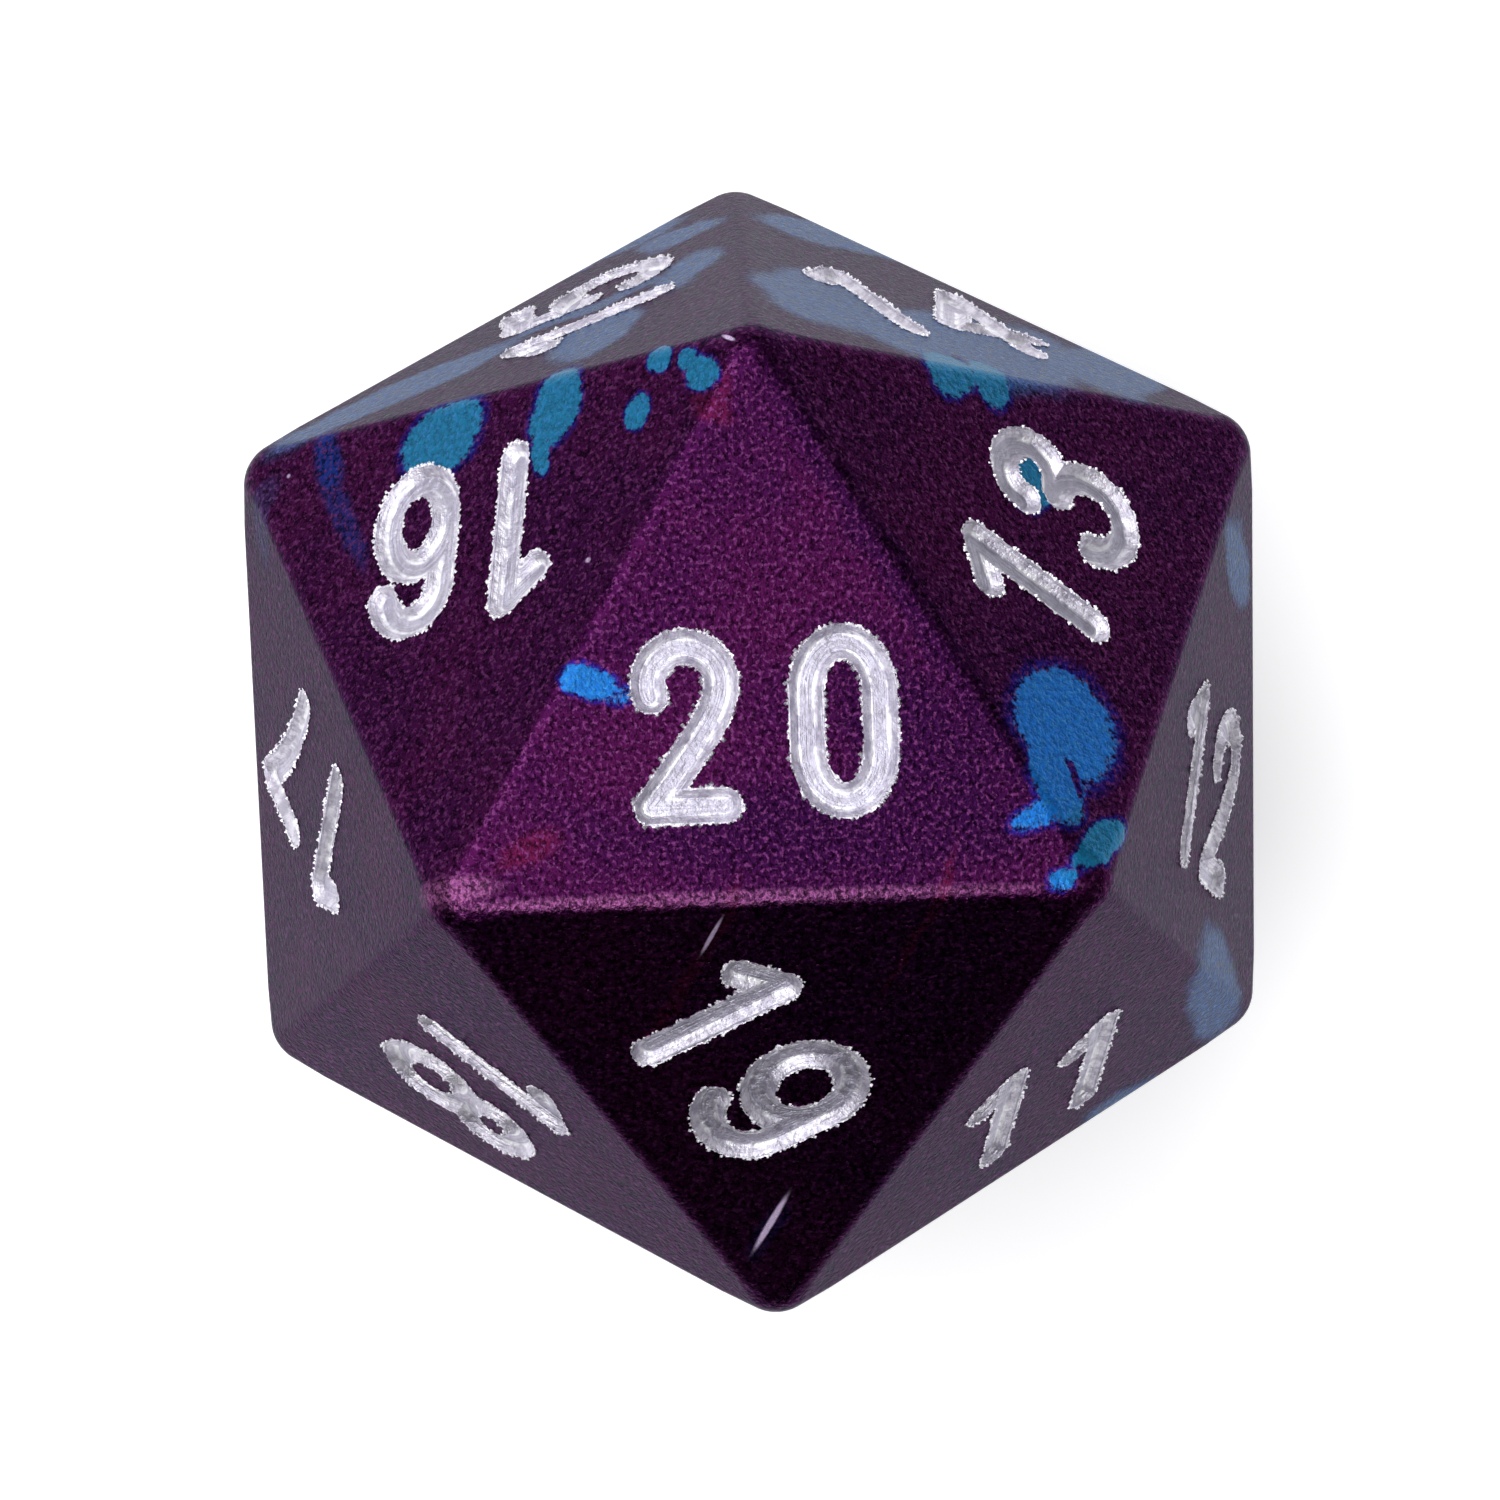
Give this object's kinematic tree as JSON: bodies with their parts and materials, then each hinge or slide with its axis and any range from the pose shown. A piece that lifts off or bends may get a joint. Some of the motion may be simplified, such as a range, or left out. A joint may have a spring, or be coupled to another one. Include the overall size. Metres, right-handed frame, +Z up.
{
  "type": "polyhedral die",
  "caption": "Solid metal die with flat triangular faces, softly rounded edges and engraved numerals that count down from face to face.",
  "frame": {"origin": "middle of the bottom face, face 1, that the die rests on", "axes": "+Z up, out of face 20; +Y from the middle of face 20 towards the top of its numeral; +X to the right of that numeral"},
  "size_m": [0.0234, 0.0266, 0.022],
  "materials": {
    "anodised_skin": "bead-blasted, anodised purple with blue splashes",
    "bare_metal": "bright, freshly cut"
  },
  "bodies": {
    "root": {"die_body": "anodised_skin", "numeral_20_tens": "bare_metal", "numeral_20_units": "bare_metal", "numeral_19_tens": "bare_metal", "numeral_19_units": "bare_metal", "numeral_18_tens": "bare_metal", "numeral_18_units": "bare_metal", "numeral_17_tens": "bare_metal", "numeral_17_units": "bare_metal", "numeral_16_tens": "bare_metal", "numeral_16_units": "bare_metal", "numeral_15_tens": "bare_metal", "numeral_15_units": "bare_metal", "numeral_14_tens": "bare_metal", "numeral_14_units": "bare_metal", "numeral_13_tens": "bare_metal", "numeral_13_units": "bare_metal", "numeral_12_tens": "bare_metal", "numeral_12_units": "bare_metal", "numeral_11_tens": "bare_metal", "numeral_11_units": "bare_metal", "numeral_10_tens": "bare_metal", "numeral_10_units": "bare_metal", "numeral_9": "bare_metal", "numeral_8": "bare_metal", "numeral_7": "bare_metal", "numeral_6": "bare_metal", "numeral_5": "bare_metal", "numeral_4": "bare_metal", "numeral_3": "bare_metal", "numeral_2": "bare_metal", "numeral_1": "bare_metal", "underline_9": "bare_metal", "underline_6": "bare_metal"}
  },
  "joints": []
}
